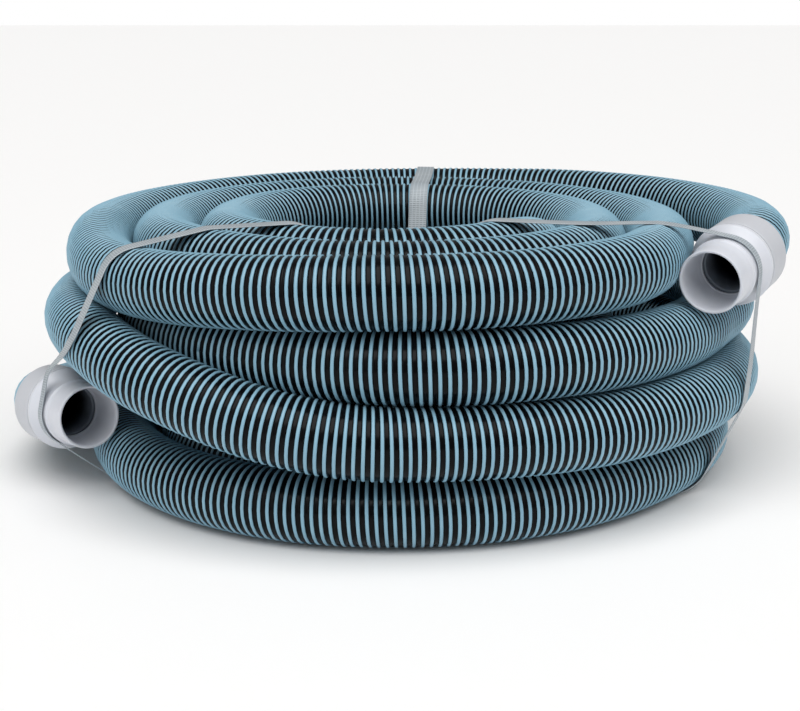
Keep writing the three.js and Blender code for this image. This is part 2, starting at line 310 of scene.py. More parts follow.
class EffectLibrary:
    """Builds each shared node group once and places it in materials."""

    def __init__(self) -> None:
        """Starts with no groups."""
        self.groups: dict[Effect, Tree] = {}

    def place(self, tree: Tree, effect: Effect, **inputs: Value) -> bpy.types.Node:
        """Adds a group to a material with its own values.

        Args:
            tree: the material's tree.
            effect: which effect.
            inputs: the group's inputs by name.

        Returns:
            The group's node.
        """
        if effect not in self.groups:
            self.groups[effect] = getattr(self, f"_{effect.name.lower()}")()
        return add_node(tree, "ShaderNodeGroup", {"node_tree": self.groups[effect]}, **inputs)

    @staticmethod
    def _start(effect: Effect, inputs: dict[str, Value], outputs: dict[str, str]) -> tuple:
        """An empty group with its sockets, its input node's outputs and its output node's inputs.

        Args:
            effect: the group's effect, which names it.
            inputs: the first value of each input, which also says its kind.
            outputs: the kind of each output: Color, Float or Vector.

        Returns:
            The tree, what it's given, and where its results go.
        """
        tree = bpy.data.node_groups.new(effect.value, "ShaderNodeTree")
        for name, value in inputs.items():
            kind = "NodeSocketColor" if isinstance(value, tuple) else "NodeSocketFloat"
            tree.interface.new_socket(name, in_out="INPUT", socket_type=kind).default_value = value
        for name, kind in outputs.items():
            tree.interface.new_socket(name, in_out="OUTPUT", socket_type=f"NodeSocket{kind}")
        given = tree.nodes.new("NodeGroupInput").outputs
        return tree, given, tree.nodes.new("NodeGroupOutput")

    def _mottle(self) -> Tree:
        """Broad, faint drift of a colour towards a second one, as in coloured plastic."""
        start = {"Colour": rgba((1, 1, 1)), "Second": rgba((0.5, 0.5, 0.5)), "Amount": 0.3, "Scale": 20.0}
        tree, given, result = self._start(Effect.MOTTLE, start, {"Colour": "Color", "Mask": "Float"})
        patches = stretched(tree, noise(tree, given["Scale"], 4.0), 0.35, 0.65)
        mask = maths(tree, "MULTIPLY", patches, given["Amount"])
        fill(tree, result, Colour=mixed(tree, mask, given["Colour"], given["Second"]), Mask=patches)
        return tree

    def _grain(self) -> Tree:
        """The fine texture that a mould leaves: a bumped normal and a roughness that varies with it."""
        start = {"Scale": 900.0, "Strength": 0.1, "Distance": 0.0002, "Roughness": 0.4, "Variation": 0.1}
        tree, given, result = self._start(Effect.GRAIN, start, {"Normal": "Vector", "Roughness": "Float"})
        depth = {"Strength": given["Strength"], "Distance": given["Distance"]}
        bump = add_node(tree, "ShaderNodeBump", None, Height=noise(tree, given["Scale"], 3.0), **depth)
        drift = maths(tree, "SUBTRACT", noise(tree, 55.0, 5.0), 0.5)
        shift = maths(tree, "MULTIPLY", drift, given["Variation"])
        rough = maths(tree, "ADD", given["Roughness"], shift, clamp=True)
        fill(tree, result, Normal=bump.outputs[0], Roughness=rough)
        return tree

    def _wear(self) -> Tree:
        """Scuffs where a surface stands proud. Crest is 1 on the crest and 0 in the hollow."""
        start = {"Crest": 1.0, "Amount": 0.5, "Scale": 60.0}
        tree, given, result = self._start(Effect.WEAR, start, {"Mask": "Float"})
        scuffed = stretched(tree, noise(tree, given["Scale"], 6.0), 0.52, 0.72)
        on_crest = maths(tree, "MULTIPLY", scuffed, given["Crest"])
        fill(tree, result, Mask=maths(tree, "MULTIPLY", on_crest, given["Amount"]))
        return tree

    def _dust(self) -> Tree:
        """A pale film that settles on surfaces that face up."""
        start = {"Colour": rgba((0.1, 0.1, 0.1)), "Dust": rgba((0.55, 0.53, 0.5)), "Amount": 0.1}
        tree, given, result = self._start(Effect.DUST, start, {"Colour": "Color", "Mask": "Float"})
        normal = tree.nodes.new("ShaderNodeTexCoord").outputs["Normal"]
        up = add_node(tree, "ShaderNodeSeparateXYZ", None, Vector=normal).outputs["Z"]
        facing = maths(tree, "MAXIMUM", up, 0.0)
        cloudy = maths(tree, "MULTIPLY", facing, noise(tree, 38.0, 6.0))
        film = maths(tree, "MULTIPLY", cloudy, given["Amount"])
        fill(tree, result, Colour=mixed(tree, film, given["Colour"], given["Dust"]), Mask=film)
        return tree


EFFECTS = EffectLibrary()


# ---- finishes -------------------------------------------------------------------------------
@dataclass(frozen=True)
class PlasticFinish:
    """A moulded or extruded plastic with mottle, grain, worn crests and a film of dust."""

    name: str
    colour: Colour
    second: Colour
    roughness: float
    mottle: float = 0.4
    mottle_scale: float = 18.0
    grain_scale: float = 900.0
    grain: float = 0.12
    dust: float = 0.05
    wear: float = 0.0
    worn_colour: Colour = (0.8, 0.8, 0.8)
    wear_scale: float = 70.0
    specular: float = 0.5
    subsurface: float = 0.0
    scatter: Colour = (0.6, 0.7, 0.8)
    scatter_depth: float = 3 * MM
    variation: float = 0.16

    def material(self) -> bpy.types.Material:
        """Builds the material, whose pattern follows Object coordinates and the piece's own map."""
        made, tree, shader = new_material(self.name)
        colours = {"Colour": rgba(self.colour), "Second": rgba(self.second)}
        mottle = EFFECTS.place(tree, Effect.MOTTLE, Amount=self.mottle, Scale=self.mottle_scale, **colours)
        colour = mottle.outputs["Colour"]
        if self.wear > 0:
            _, across = own_map(tree)
            crest = maths(tree, "SINE", maths(tree, "MULTIPLY", across, math.pi))
            wear = EFFECTS.place(tree, Effect.WEAR, Crest=crest, Amount=self.wear, Scale=self.wear_scale)
            colour = mixed(tree, wear.outputs["Mask"], colour, rgba(self.worn_colour))
        dust = EFFECTS.place(tree, Effect.DUST, Colour=colour, Amount=self.dust).outputs
        surface = {"Roughness": self.roughness, "Variation": self.variation}
        grain = EFFECTS.place(tree, Effect.GRAIN, Scale=self.grain_scale, Strength=self.grain, **surface)
        rough = maths(tree, "ADD", grain.outputs["Roughness"], dust["Mask"], clamp=True)
        fill(tree, shader, Base_Color=dust["Colour"], Roughness=rough, Normal=grain.outputs["Normal"])
        fill(tree, shader, Specular_IOR_Level=self.specular, Subsurface_Weight=self.subsurface)
        fill(tree, shader, Subsurface_Radius=self.scatter, Subsurface_Scale=self.scatter_depth)
        return made


@dataclass(frozen=True)
class StrapFinish:
    """Translucent strapping, embossed with a fine grid of cross ribs in lengthwise bands."""

    name: str = "strapping"
    colour: Colour = (0.32, 0.37, 0.41)
    line_colour: Colour = (0.52, 0.58, 0.62)
    line_share: float = 0.55  # how far the embossed lines go towards line_colour
    second: Colour = (0.6, 0.64, 0.66)
    rib_pitch: float = 1.7 * MM
    bands: int = 5
    opacity: float = 0.78
    roughness: float = 0.38

    def material(self) -> bpy.types.Material:
        """Builds the material. The map's U runs along the strap in metres and V across it, 0 to 1."""
        made, tree, shader = new_material(self.name)
        along, across = own_map(tree)
        rib_turn = maths(tree, "MULTIPLY", along, 2 * math.pi / self.rib_pitch)
        band_turn = maths(tree, "MULTIPLY", across, 2 * math.pi * self.bands)
        ribs = maths(tree, "MULTIPLY_ADD", maths(tree, "SINE", rib_turn), 0.5, 0.5)
        bands = maths(tree, "MULTIPLY_ADD", maths(tree, "COSINE", band_turn), 0.5, 0.5)
        emboss = maths(tree, "MAXIMUM", ribs, maths(tree, "POWER", bands, 3.0))
        lines = maths(tree, "MULTIPLY", maths(tree, "POWER", emboss, 2.0), self.line_share)
        colour = mixed(tree, lines, rgba(self.colour), rgba(self.line_colour))
        clouds = {"Second": rgba(self.second), "Amount": 0.3, "Scale": 45.0}
        mottle = EFFECTS.place(tree, Effect.MOTTLE, Colour=colour, **clouds)
        bump = add_node(tree, "ShaderNodeBump", None, Strength=0.6, Distance=0.3 * MM, Height=emboss)
        clear = maths(tree, "MULTIPLY", maths(tree, "SUBTRACT", 1.0, emboss), 1 - self.opacity)
        fill(tree, shader, Base_Color=mottle.outputs["Colour"], Normal=bump.outputs[0])
        fill(tree, shader, Alpha=maths(tree, "SUBTRACT", 1.0, clear), Roughness=self.roughness)
        return made


@dataclass(frozen=True)
class CrimpFinish:
    """Zinc-plated sheet steel, with a fine tooth and faintly clouded."""

    name: str = "zinc_crimp"
    colour: Colour = (0.48, 0.5, 0.52)
    second: Colour = (0.3, 0.32, 0.35)

    def material(self) -> bpy.types.Material:
        """Builds the material."""
        made, tree, shader = new_material(self.name)
        colours = {"Colour": rgba(self.colour), "Second": rgba(self.second)}
        mottle = EFFECTS.place(tree, Effect.MOTTLE, Amount=0.7, Scale=260.0, **colours)
        tooth = {"Scale": 2600.0, "Strength": 0.3, "Roughness": 0.34, "Variation": 0.3}
        grain = EFFECTS.place(tree, Effect.GRAIN, **tooth).outputs
        fill(tree, shader, Base_Color=mottle.outputs["Colour"], Metallic=1.0)
        fill(tree, shader, Roughness=grain["Roughness"], Normal=grain["Normal"])
        return made


RIB_BLUE = PlasticFinish(
    "rib_blue", (0.235, 0.435, 0.56), (0.205, 0.395, 0.515), roughness=0.34, grain_scale=700.0, grain=0.1,
    wear=0.35, worn_colour=(0.36, 0.57, 0.67),
)
WEB_BLACK = PlasticFinish(
    "web_black", (0.0012, 0.0015, 0.0022), (0.003, 0.003, 0.0034), roughness=0.2, grain_scale=500.0,
    grain=0.08, dust=0.003, specular=0.1,
)
CUFF_WHITE = PlasticFinish(
    "cuff_white", (0.66, 0.685, 0.745), (0.6, 0.63, 0.695), roughness=0.33, mottle_scale=9.0,
    grain_scale=520.0, grain=0.05, dust=0.03, subsurface=0.12,
)
COLLAR_WHITE = PlasticFinish(
    "collar_white", (0.56, 0.58, 0.625), (0.5, 0.52, 0.565), roughness=0.46, mottle_scale=14.0,
    grain_scale=1100.0, grain=0.16, dust=0.04, subsurface=0.1,
)
WASHER_WHITE = PlasticFinish(
    "washer_white", (0.7, 0.72, 0.76), (0.62, 0.64, 0.68), roughness=0.4, grain=0.05, grain_scale=800.0
)
SLEEVE_GREY = PlasticFinish(
    "sleeve_grey", (0.2, 0.23, 0.27), (0.15, 0.175, 0.21), roughness=0.42, grain=0.1
)
SEAL_RUBBER = PlasticFinish(
    "seal_rubber", (0.014, 0.015, 0.017), (0.03, 0.03, 0.032), roughness=0.72, grain=0.4, grain_scale=1500.0
)
STRAPPING = StrapFinish()
ZINC_CRIMP = CrimpFinish()


def dress(piece: bpy.types.Object, material: bpy.types.Material) -> None:
    """Gives a piece one material."""
    piece.data.materials.clear()
    piece.data.materials.append(material)


def fasten(piece: bpy.types.Object, body: str, slot: str, *nodes: str) -> None:
    """Rides a piece on a body, and hides the CAD nodes that it stands for.

    Args:
        piece: the piece.
        body: the body that it moves with.
        slot: its material slot; not used.
        nodes: the nodes that it replaces, if any.
    """
    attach(piece, body)
    if nodes:
        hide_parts(*nodes)


# ---- the hose -------------------------------------------------------------------------------
@dataclass(frozen=True)
class CuffPlace:
    """Where a swivel cuff sits: the centre of its mouth, and the way that the mouth points."""

    side: str
    mouth: np.ndarray
    axis: np.ndarray

    def behind(self, distance: float) -> np.ndarray:
        """The point on the cuff's axis that far behind the mouth."""
        return self.mouth - self.axis * distance

    def station(self, distance: float, turns: int) -> tuple[float, float, float]:
        """The same point as a station of the hose's route: degrees, and millimetres."""
        x, y, z = (self.behind(distance) - COIL_CENTRE) / MM
        angle = math.degrees(math.atan2(y, x))
        if turns:
            angle = angle % TURN + TURN * turns
        return angle, math.hypot(x, y), z


@dataclass(frozen=True)
class Route:
    """The hose's centre line, sampled evenly: lengths along it, points, and its own axes."""

    along: np.ndarray
    points: np.ndarray
    forward: np.ndarray
    up: np.ndarray
    side: np.ndarray

    @property
    def length(self) -> float:
        """The whole length in metres."""
        return float(self.along[-1])

    def at(self, along: np.ndarray) -> tuple[np.ndarray, np.ndarray, np.ndarray, np.ndarray]:
        """The centre and the three axes at the given lengths, by straight interpolation."""
        rows = []
        for values in (self.points, self.forward, self.up, self.side):
            rows.append(np.stack([np.interp(along, self.along, values[:, k]) for k in range(3)], axis=-1))
        return rows[0], unit(rows[1]), unit(rows[2]), unit(rows[3])


@dataclass
class SpiralHose:
    """The hose: a hollow black wall, the web between the ribs, and the raised spiral rib."""

    outer_r: float = 23 * MM
    web_edge_r: float = 22.35 * MM
    web_middle_r: float = 22.0 * MM
    wall_r: float = 21.5 * MM
    bore_r: float = 19 * MM
    pitch: float = 5.16 * MM
    rib_share: float = 0.44  # share of the pitch that the rib covers
    start_behind_mouth: float = 46.4 * MM
    straight_in_cuff: tuple[float, float] = (58 * MM, 67 * MM)  # two more stations on the cuff's axis
    samples: int = 9000
    oversampling: int = 8
    ring_step: float = 8 * MM
    wall_sides: int = 20
    steps_per_turn: int = 26
    rib_pieces: int = 4
    web_pieces: int = 3
    crown_power: float = 2.6
    web_tuck: float = 0.25 * MM  # how far the web runs in under each rib
    web_root: float = 0.1 * MM  # how far it sinks into the wall
    wall: bpy.types.Object | None = None
    ribs: list[bpy.types.Object] = field(default_factory=list)
    webs: list[bpy.types.Object] = field(default_factory=list)

    def route(self, right: CuffPlace, left: CuffPlace) -> Route:
        """Winds the route: a smooth curve of radius and height against angle, evenly resampled.

        Args:
            right: the cuff that the hose starts in.
            left: the cuff that it ends in.

        Returns:
            The centre line.
        """
        in_cuff = (self.start_behind_mouth, *self.straight_in_cuff)
        stations = [right.station(distance, 0) for distance in in_cuff]
        for stretch in (RIGHT_LEAD, TOP_LAYER, INNER_COLUMN, BOTTOM_LAYER, MIDDLE_COLUMN, OUTER_COLUMN):
            stations += stretch
        stations += [(angle + TURN * LEFT_LEAD_TURNS, radius, height) for angle, radius, height in LEFT_LEAD]
        stations += [left.station(distance, LEFT_LEAD_TURNS) for distance in reversed(in_cuff)]
        angle, radius, height = np.array(stations).T
        fine = np.linspace(angle[0], angle[-1], self.oversampling * self.samples)
        r = smooth_through(angle, radius, fine) * MM
        z = smooth_through(angle, height, fine) * MM
        turn = np.radians(fine)
        curve = COIL_CENTRE + np.stack([r * np.cos(turn), r * np.sin(turn), z], axis=-1)
        run = np.concatenate([[0], np.cumsum(np.linalg.norm(np.diff(curve, axis=0), axis=1))])
        along = np.linspace(0, run[-1], self.samples)
        points = np.stack([np.interp(along, run, curve[:, k]) for k in range(3)], axis=-1)
        forward = unit(np.gradient(points, along, axis=0))
        upright = np.array((0.0, 0.0, 1.0))
        up = unit(upright - forward * forward[:, 2:3])
        return Route(along, points, forward, up, np.cross(forward, up))

    def build_wall(self, route: Route) -> bpy.types.Object:
        """The hollow wall: rings of points carried along the route, outside, then inside.

        A ring's point is centre + radius * (cos a * up + sin a * side). The outer rings go from
        start to end and the inner ones back, so the surface closes on itself at both ends.

        Args:
            route: the centre line.

        Returns:
            The wall as one closed tube.
        """
        count = int(route.length / self.ring_step)
        along = np.linspace(0, route.length, count)
        centre, _, up, side = route.at(along)
        a = np.linspace(0, 2 * math.pi, self.wall_sides, endpoint=False)
        ring = np.cos(a)[None, :, None] * up[:, None] + np.sin(a)[None, :, None] * side[:, None]
        outside = centre[:, None] + self.wall_r * ring
        inside = (centre[:, None] + self.bore_r * ring)[::-1]
        points = np.concatenate([outside, inside]).reshape(-1, 3)
        quads = grid_faces(2 * count, self.wall_sides, True, True)
        return make_piece("hose_wall", points, quads)

    def helix_strip(
        self, name: str, route: Route, section: np.ndarray, steps: tuple[int, int]
    ) -> bpy.types.Object:
        """Carries a closed section round the hose, one turn for each pitch.

        At length s the strip stands at angle a = 2 pi s / pitch round the route, and a section's
        point is centre(s + shift) + radius * (cos a * up + sin a * side).

        Args:
            name: the piece's name.
            route: the centre line.
            section: rows of [shift along the hose, radius], from the start side over the crown.
            steps: the first and last step, counted in steps of a turn.

        Returns:
            One closed strip.
        """
        step = np.arange(steps[0], steps[1] + 1)
        s = self.pitch * (0.5 + step / self.steps_per_turn)
        a = (2 * math.pi * s / self.pitch)[:, None]
        columns = []
        for shift, radius in section[::-1]:
            centre, _, up, side = route.at(s + shift)
            columns.append(centre + radius * (np.cos(a) * up + np.sin(a) * side))
        points = np.stack(columns, axis=1)
        rows, around = points.shape[:2]
        quads = grid_faces(rows, around, False, True)
        lengthwise = np.arange(rows) / self.steps_per_turn
        uv = grid_uv(lengthwise, np.linspace(0, 1, around + 1))
        return make_piece(name, points.reshape(-1, 3), quads, uv, end_caps(rows, around))

    def rib_section(self) -> np.ndarray:
        """The rib: a bead with a broad crown, half of a superellipse, closed underneath."""
        half = self.rib_share * self.pitch / 2
        t = np.radians((180, 148, 112, 68, 32, 0))
        power = 2 / self.crown_power
        x = np.sign(np.cos(t)) * np.abs(np.cos(t)) ** power * half
        r = self.wall_r + (self.outer_r - self.wall_r) * np.sin(t) ** power
        return np.stack([x, r], axis=-1)

    def web_section(self) -> np.ndarray:
        """The web between two ribs: a shallow hollow from rib to rib, closed underneath."""
        half = (1 - self.rib_share) * self.pitch / 2 + self.web_tuck
        x = np.linspace(-half, half, 4)
        dip = (self.web_edge_r - self.web_middle_r) * np.array((0, 0.85, 0.85, 0))
        top = np.stack([x, self.web_edge_r - dip], axis=-1)
        under = np.array([[0.0, self.wall_r - self.web_root]])
        return np.concatenate([top, under]) + np.array((self.pitch / 2, 0.0))

    def build(self, route: Route) -> None:
        """Makes the wall, the lengths of rib and the lengths of web along the route."""
        self.wall = self.build_wall(route)
        whole = int((route.length / self.pitch - 2) * self.steps_per_turn)
        plan = (
            ("rib", self.ribs, self.rib_section(), self.rib_pieces),
            ("web", self.webs, self.web_section(), self.web_pieces),
        )
        for kind, made, section, parts in plan:
            edges = np.linspace(0, whole, parts + 1).astype(int)
            for n, span in enumerate(zip(edges[:-1], edges[1:])):
                made.append(self.helix_strip(f"hose_{kind}_{n + 1}", route, section, span))

    def dress(self) -> None:
        """Blue on the rib, black on the web and the wall."""
        blue, black = RIB_BLUE.material(), WEB_BLACK.material()
        for piece in self.ribs:
            dress(piece, blue)
        for piece in (*self.webs, self.wall):
            dress(piece, black)

    def fasten(self) -> None:
        """Every piece stays with the coil, and the wall stands for the CAD model's hose."""
        fasten(self.wall, "coil", "hose", "hose_coil", "hose_lead_right", "hose_lead_left")
        for piece in (*self.ribs, *self.webs):
            fasten(piece, "coil", "hose")


# ---- swivel cuff ----------------------------------------------------------------------------
def bend(cx: float, cy: float, radius: float, start: float, end: float, steps: int) -> list:
    """Points [radius, distance back] on a round: centre, radius, and angles in degrees."""
    a = np.radians(np.linspace(start, end, steps + 1))
    return list(zip(cx + radius * np.cos(a), cy + radius * np.sin(a)))


@dataclass
class SwivelCuff:
    """A push-on cuff: the body that turns, and the washer, collar and sleeve fixed to the hose.

    Sizes are in millimetres, and places are distances back from the mouth.
    """

    place: CuffPlace
    sides: int = 96
    mouth_bore_r: float = 19.2
    mouth_r: float = 21.5
    bead_at: float = 21.2
    bead_r: float = 22.9
    neck_r: float = 22.0
    shoulder_r: float = 28.2
    shoulder_at: float = 38.6
    body_length: float = 40.8
    stop_at: float = 31.4
    stop_r: float = 18.0
    pocket_r: float = 22.2
    washer: tuple[float, float] = (41.1, 42.5)
    collar: tuple[float, float] = (42.8, 68.2)
    collar_r: float = 27.9
    collar_bore_r: float = 23.9
    sleeve_r: float = 18.6
    sleeve_bore_r: float = 16.8
    sleeve_end: float = 62.0
    hose_start: float = 46.4

    def turned(self, name: str, profile: list) -> bpy.types.Object:
        """Turns a closed profile round the cuff's axis.

        A point is mouth - axis * back + radius * (cos a * u + sin a * v), with u and v square to
        the axis.

        Args:
            name: what the piece is called after its side.
            profile: [radius, distance back from the mouth] in millimetres, outside first from the
                mouth backwards, then inside forwards.

        Returns:
            The turned piece.
        """
        axis = self.place.axis
        u = unit(np.cross(axis, (0.0, 0.0, 1.0)))
        v = np.cross(axis, u)
        radius, back = (np.array(profile) * MM).T
        a = np.linspace(0, 2 * math.pi, self.sides, endpoint=False)
        spoke = np.cos(a)[:, None] * u + np.sin(a)[:, None] * v
        points = self.place.mouth - back[None, :, None] * axis + radius[None, :, None] * spoke[:, None]
        quads = grid_faces(self.sides, len(profile), True, True)
        return make_piece(f"{self.place.side}_{name}", points.reshape(-1, 3), quads)

    def body_profile(self) -> list:
        """Rounded lip, plain socket, raised bead, hollow neck, full shoulder, ledges inside."""
        lip = (self.mouth_r - self.mouth_bore_r - 0.5) / 2
        lip_middle = self.mouth_bore_r + 0.5 + lip
        outside = bend(lip_middle, lip, lip, -165, 0, 8)
        outside += [(self.mouth_r - 0.05, 9.0), (self.mouth_r - 0.1, self.bead_at - 2.2)]
        outside += bend(self.bead_r - 1.15, self.bead_at, 1.15, -62, 62, 8)
        outside += [(self.neck_r + 0.05, self.bead_at + 1.7)]
        reach = np.linspace(0, 1, 13)[1:]
        flare = (self.shoulder_r - self.neck_r - 0.9) * (reach**2.3)
        outside += list(zip(self.neck_r + flare, self.bead_at + 1.9 + 13.2 * reach))
        outside += bend(self.shoulder_r - 2.6, self.shoulder_at - 0.2, 2.6, -38, 20, 8)
        back = self.body_length
        outside += [(self.shoulder_r - 0.5, back - 0.5), (self.shoulder_r - 0.9, back)]
        ledge = self.stop_at
        inside = [
            (self.sleeve_r + 0.4, self.body_length),
            (self.sleeve_r + 0.4, self.shoulder_at + 0.2),
            (self.pocket_r, self.shoulder_at + 0.2),
            (self.pocket_r, ledge + 1.8),
            (self.stop_r, ledge + 1.8),
            (self.stop_r - 0.05, ledge + 0.3),
            (self.stop_r + 0.25, ledge),
            (self.mouth_bore_r - 0.75, ledge - 0.05),
            (self.mouth_bore_r - 0.55, ledge - 0.4),
            (self.mouth_bore_r - 0.5, ledge - 4.6),
            (self.mouth_bore_r - 0.3, ledge - 4.9),
            (self.mouth_bore_r - 0.2, ledge - 5.2),
            (self.mouth_bore_r, 6.0),
            (self.mouth_bore_r + 0.15, 1.6),
        ]
        return outside + inside

    def collar_profile(self) -> list:
        """The fixed collar: a rounded front edge, a faint taper and a soft back edge."""
        front, back = self.collar
        outside = [(self.collar_r - 1.2, front)]
        outside += bend(self.collar_r - 0.9, front + 0.9, 0.9, -75, 0, 5)
        outside += [(self.collar_r - 0.1, front + 8.0), (self.collar_r - 0.3, back - 4.5)]
        outside += bend(self.collar_r - 2.7, back - 2.3, 2.4, 6, 88, 8)
        inside = [
            (self.collar_bore_r - 0.4, back),
            (self.collar_bore_r - 0.6, back - 0.8),
            (self.collar_bore_r - 0.6, self.hose_start - 0.3),
            (self.sleeve_r + 0.3, self.hose_start - 0.3),
            (self.sleeve_r + 0.3, front),
        ]
        return outside + inside

    def washer_profile(self) -> list:
        """A thin ring with rounded edges that shows in the parting line."""
        front, back = self.washer
        middle, half = (front + back) / 2, (back - front) / 2
        return bend(27.4 - half, middle, half, -80, 80, 6) + [(21.6, back), (21.5, middle), (21.6, front)]

    def sleeve_profile(self) -> list:
        """The flanged tube that the body turns on: rounded nose, flange, and a tapered end."""
        flange_back = self.shoulder_at - 0.1
        nose = flange_back - 3.2
        outside = bend(self.sleeve_bore_r + 0.6, nose + 0.6, 0.6, -170, -90, 4)
        outside += [(21.4, nose), (21.8, nose + 0.4), (21.8, flange_back)]
        outside += [(self.sleeve_r, flange_back), (self.sleeve_r, self.sleeve_end - 1.5)]
        return outside + [(self.sleeve_r - 1, self.sleeve_end), (self.sleeve_bore_r, self.sleeve_end)]

    def build(self) -> None:
        """Turns every piece of the cuff and keeps the seal ring as it is."""
        self.body = self.turned("body_shell", self.body_profile())
        self.ring = self.turned("washer_ring", self.washer_profile())
        self.collar_piece = self.turned("collar_shell", self.collar_profile())
        self.sleeve = self.turned("sleeve_tube", self.sleeve_profile())
        self.seal = frame["nodes"][f"{self.place.side}_seal_ring"]

    def dress(self, finishes: dict[str, bpy.types.Material]) -> None:
        """Gives each piece its plastic."""
        dress(self.body, finishes["cuff"])
        dress(self.ring, finishes["washer"])
        dress(self.collar_piece, finishes["collar"])
        dress(self.sleeve, finishes["sleeve"])
        dress(self.seal, finishes["seal"])

    def fasten(self) -> None:
        """The body turns with the cuff. The washer, collar and sleeve stay with the coil."""
        side = self.place.side
        fasten(self.body, f"{side}_cuff", "cuff_white", f"{side}_cuff_body")
        fasten(self.ring, "coil", "washer_white", f"{side}_thrust_washer")
        fasten(self.collar_piece, "coil", "collar_white", f"{side}_hose_collar")
        fasten(self.sleeve, "coil", "sleeve_grey", f"{side}_swivel_sleeve")

    def shown(self) -> list[bpy.types.Object]:
        """Every piece of the cuff that shows."""
        return [self.body, self.ring, self.collar_piece, self.sleeve, self.seal]


# ---- straps ---------------------------------------------------------------------------------
def taut_outline(circles: np.ndarray, offset: float) -> np.ndarray:
    """The outline of a band pulled taut round circles, as a closed row of points.

    Each circle gives points all round it, and the outline is the convex hull of them all: the
    lower chain from left to right, then the upper one back.

    Args:
        circles: rows of [x, y, half-width, half-height].
        offset: how far the band's surface stands off the circles.

    Returns:
        The hull's points, anticlockwise.
    """
    a = np.linspace(0, 2 * math.pi, 96, endpoint=False)
    rim = circles[:, None, :2] + (circles[:, None, 2:] + offset) * np.stack([np.cos(a), np.sin(a)], -1)
    points = sorted(map(tuple, rim.reshape(-1, 2)))

    def chain(row: list) -> list:
        """One side of the hull: a point that turns the wrong way is dropped."""
        kept: list = []
        for p in row:
            while len(kept) > 1:
                (ax, ay), (bx, by) = kept[-2], kept[-1]
                if (bx - ax) * (p[1] - ay) - (by - ay) * (p[0] - ax) > 0:
                    break
                kept.pop()
            kept.append(p)
        return kept[:-1]

    return np.array(chain(points) + chain(points[::-1]))


def even_loop(outline: np.ndarray, count: int, start_angle: float) -> tuple[np.ndarray, float]:
    """Resamples a closed outline evenly, from where it leaves its middle at an angle.

    Args:
        outline: the closed outline.
        count: how many points to give.
        start_angle: the direction of the first point from the outline's middle, in radians.

    Returns:
        The points, and the outline's whole length.
    """
    middle = (outline.max(0) + outline.min(0)) / 2
    closed = np.concatenate([outline, outline[:1]])
    run = np.concatenate([[0], np.cumsum(np.linalg.norm(np.diff(closed, axis=0), axis=1))])
    away = closed - middle
    turned = np.angle(np.exp(1j * (np.arctan2(away[:, 1], away[:, 0]) - start_angle)))
    first = run[np.argmin(np.abs(turned))]
    wanted = (first + np.linspace(0, run[-1], count, endpoint=False)) % run[-1]
    return np.stack([np.interp(wanted, run, closed[:, k]) for k in range(2)], axis=-1), float(run[-1])


@dataclass(frozen=True)
class CrimpedSeal:
    """A folded steel sleeve round a strap, pinched by two crimps."""

    length: float = 24 * MM
    width: float = 16.6 * MM
    half_thick: float = 1.35 * MM
    pinch: float = 0.62 * MM  # how deep a crimp dips
    bulge: float = 0.25 * MM  # how far a crimp pushes each edge out
    crimp_at: float = 0.45  # as a share of the half-length, from the middle
    crimp_share: float = 0.13
    squareness: float = 5.0
    rows: int = 49
    around: int = 28

    def build(self, name: str, at: np.ndarray, forward: np.ndarray, across: np.ndarray) -> bpy.types.Object:
        """Makes the sleeve.

        Its section is a flat rounded box, a superellipse. Along its length the box's thickness
        dips twice, by a bell curve, and its width bulges a little there.

        Args:
            name: the piece's name.
            at: the middle of the seal.
            forward: the strap's direction there.
            across: the direction across the strap.

        Returns:
            The seal.
        """
        proud = unit(np.cross(across, forward))
        t = np.linspace(-1, 1, self.rows)
        crimps = np.exp(-(((np.abs(t) - self.crimp_at) / self.crimp_share) ** 2))
        half_thick = self.half_thick - self.pinch * crimps
        half_wide = self.width / 2 + self.bulge * crimps
        a = -np.linspace(0, 2 * math.pi, self.around, endpoint=False)
        x, y = (np.sign(part) * np.abs(part) ** (2 / self.squareness) for part in (np.cos(a), np.sin(a)))
        points = (
            at
            + (t * self.length / 2)[:, None, None] * forward
            + (half_wide[:, None] * x)[..., None] * across
            + (half_thick[:, None] * y)[..., None] * proud
        )
        quads = grid_faces(self.rows, self.around, False, True)
        return make_piece(name, points.reshape(-1, 3), quads, None, end_caps(self.rows, self.around))


